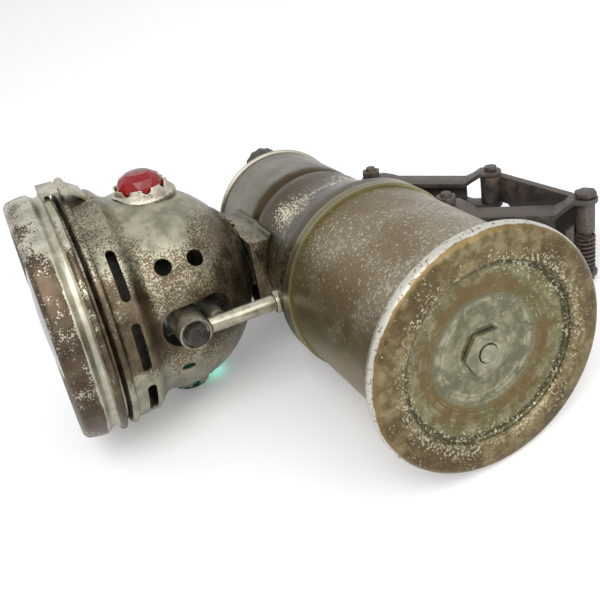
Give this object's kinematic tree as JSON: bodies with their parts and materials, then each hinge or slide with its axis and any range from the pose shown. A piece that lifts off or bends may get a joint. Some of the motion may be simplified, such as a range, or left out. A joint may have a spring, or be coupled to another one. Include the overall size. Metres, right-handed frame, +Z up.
{
  "type": "carbide bicycle lamp",
  "caption": "Acetylene cycle lamp: screwed base cap, carbide chamber, water tank with drip valve, gas tube to a burner in a vented head with hinged lens door, jewels and sprung rear bracket.",
  "frame": {"origin": "centre of the bounding box, at the table the lamp lies on", "axes": "+Z up from the table. The lamp lies on its right side: its beam points to -X, the generator stands along +Y with the water tank at +Y and the base cap at -Y, and its left side with the red jewel faces +Z"},
  "size_m": [0.203, 0.1618, 0.0968],
  "materials": {
    "chamber_nickel": "worn nickel plate over brass, brown patina with pale speckles",
    "tank_nickel": "worn nickel plate over brass, brown patina with pale speckles",
    "head_nickel": "worn nickel plate over brass, brown patina with pale speckles",
    "door_nickel": "worn nickel plate over brass, brighter on the beads",
    "cap_brass": "tarnished brass with remains of nickel, olive and grey-green",
    "bright_nickel": "nickel plate, rubbed bright",
    "burner_nickel": "dull nickel plate with dark grime",
    "inner_brass": "dull brass",
    "silvered": "silver plate, slightly dull",
    "dark_steel": "blackened steel",
    "rusty_steel": "dark steel with brown rust",
    "spring_steel": "dark spring steel with brown rust",
    "rubber": "matt",
    "felt": "felt",
    "ceramic": "unglazed",
    "red_glass": "cut ruby glass",
    "green_glass": "cut green glass",
    "clear_glass": "clear glass"
  },
  "bodies": {
    "lamp": {"head_body": "head_nickel", "reflector": "silvered", "carbide_chamber": "chamber_nickel", "water_tank": "tank_nickel", "tank_lid": "tank_nickel", "tank_floor": "inner_brass", "filter_plate": "inner_brass", "filter_felt": "felt", "drip_tube": "inner_brass", "valve_gland": "tank_nickel", "filler_neck": "inner_brass", "gas_nipple": "bright_nickel", "gas_tube": "bright_nickel", "burner_holder": "burner_nickel", "holder_plug": "dark_steel", "burner_stem": "burner_nickel", "burner_tip": "ceramic", "hinge_leaf": "bright_nickel", "hinge_pin": "bright_nickel", "red_jewel_ring": "bright_nickel", "red_jewel": "red_glass", "green_jewel_ring": "bright_nickel", "green_jewel": "green_glass", "head_saddle": "head_nickel", "head_bracket": "head_nickel", "generator_bracket": "rusty_steel", "bolt_a": "rusty_steel", "nut_a": "rusty_steel", "bolt_b": "rusty_steel", "nut_b": "rusty_steel"},
    "front_door": {"door_bezel": "door_nickel", "lens": "clear_glass", "lens_retainer": "bright_nickel", "hinge_strap": "bright_nickel"},
    "base_cap_body": {"base_cap": "cap_brass", "cap_nut": "cap_brass", "cap_stud": "cap_brass", "base_gasket": "rubber", "carbide_cup": "inner_brass"},
    "filler_cap_body": {"filler_cap": "dark_steel", "filler_washer": "rubber"},
    "water_valve": {"valve_knob": "dark_steel", "valve_needle": "inner_brass"},
    "upper_link_body": {"upper_link": "rusty_steel"},
    "lower_link_body": {"lower_link": "rusty_steel"},
    "yoke_body": {"yoke": "rusty_steel", "pin_c": "rusty_steel", "nut_c": "rusty_steel", "bolt_d": "rusty_steel", "nut_d": "rusty_steel", "torsion_spring": "spring_steel"},
    "clamp_screw_body": {"clamp_screw": "dark_steel"}
  },
  "joints": [
    {"name": "front_door_hinge", "type": "hinge", "parent": "lamp", "child": "front_door", "pos_m": [-0.06333, 0.03924, 0.09366], "axis": [-0.015, 0.9976, -0.0674], "range_deg": [0, 110]},
    {"name": "base_cap_thread", "type": "hinge", "parent": "lamp", "child": "base_cap_body", "pos_m": [0.01258, -0.07855, 0.03804], "axis": [-0.015, 0.9976, -0.0674], "continuous": true},
    {"name": "filler_cap_thread", "type": "hinge", "parent": "lamp", "child": "filler_cap_body", "pos_m": [0.01415, 0.06905, 0.0474], "axis": [-0.015, 0.9976, -0.0674], "continuous": true},
    {"name": "water_valve_spindle", "type": "hinge", "parent": "lamp", "child": "water_valve", "pos_m": [0.01037, 0.0677, 0.02816], "axis": [-0.015, 0.9976, -0.0674], "range_deg": [0, 340]},
    {"name": "upper_link_pivot", "type": "hinge", "parent": "lamp", "child": "upper_link_body", "pos_m": [0.04294, 0.044, 0.02257], "axis": [0.2173, 0.0691, 0.9737], "range_deg": [-12, 14], "stiffness_Nm_per_rad": 3},
    {"name": "lower_link_pivot", "type": "hinge", "parent": "lamp", "child": "lower_link_body", "pos_m": [0.04803, -0.00259, 0.02474], "axis": [0.2173, 0.0691, 0.9737], "range_deg": [-12, 14]},
    {"name": "yoke_pivot", "type": "hinge", "parent": "upper_link_body", "child": "yoke_body", "pos_m": [0.07843, 0.01358, 0.01681], "axis": [0.2173, 0.0691, 0.9737], "range_deg": [-14, 12]},
    {"name": "clamp_screw_thread", "type": "hinge", "parent": "yoke_body", "child": "clamp_screw_body", "pos_m": [0.09556, -0.01053, 0.00931], "axis": [-0.976, 0, 0.2178], "continuous": true}
  ],
  "couplings": [
    {"joint": "lower_link_pivot", "follows": "upper_link_pivot", "ratio": 1},
    {"joint": "yoke_pivot", "follows": "upper_link_pivot", "ratio": -1}
  ]
}
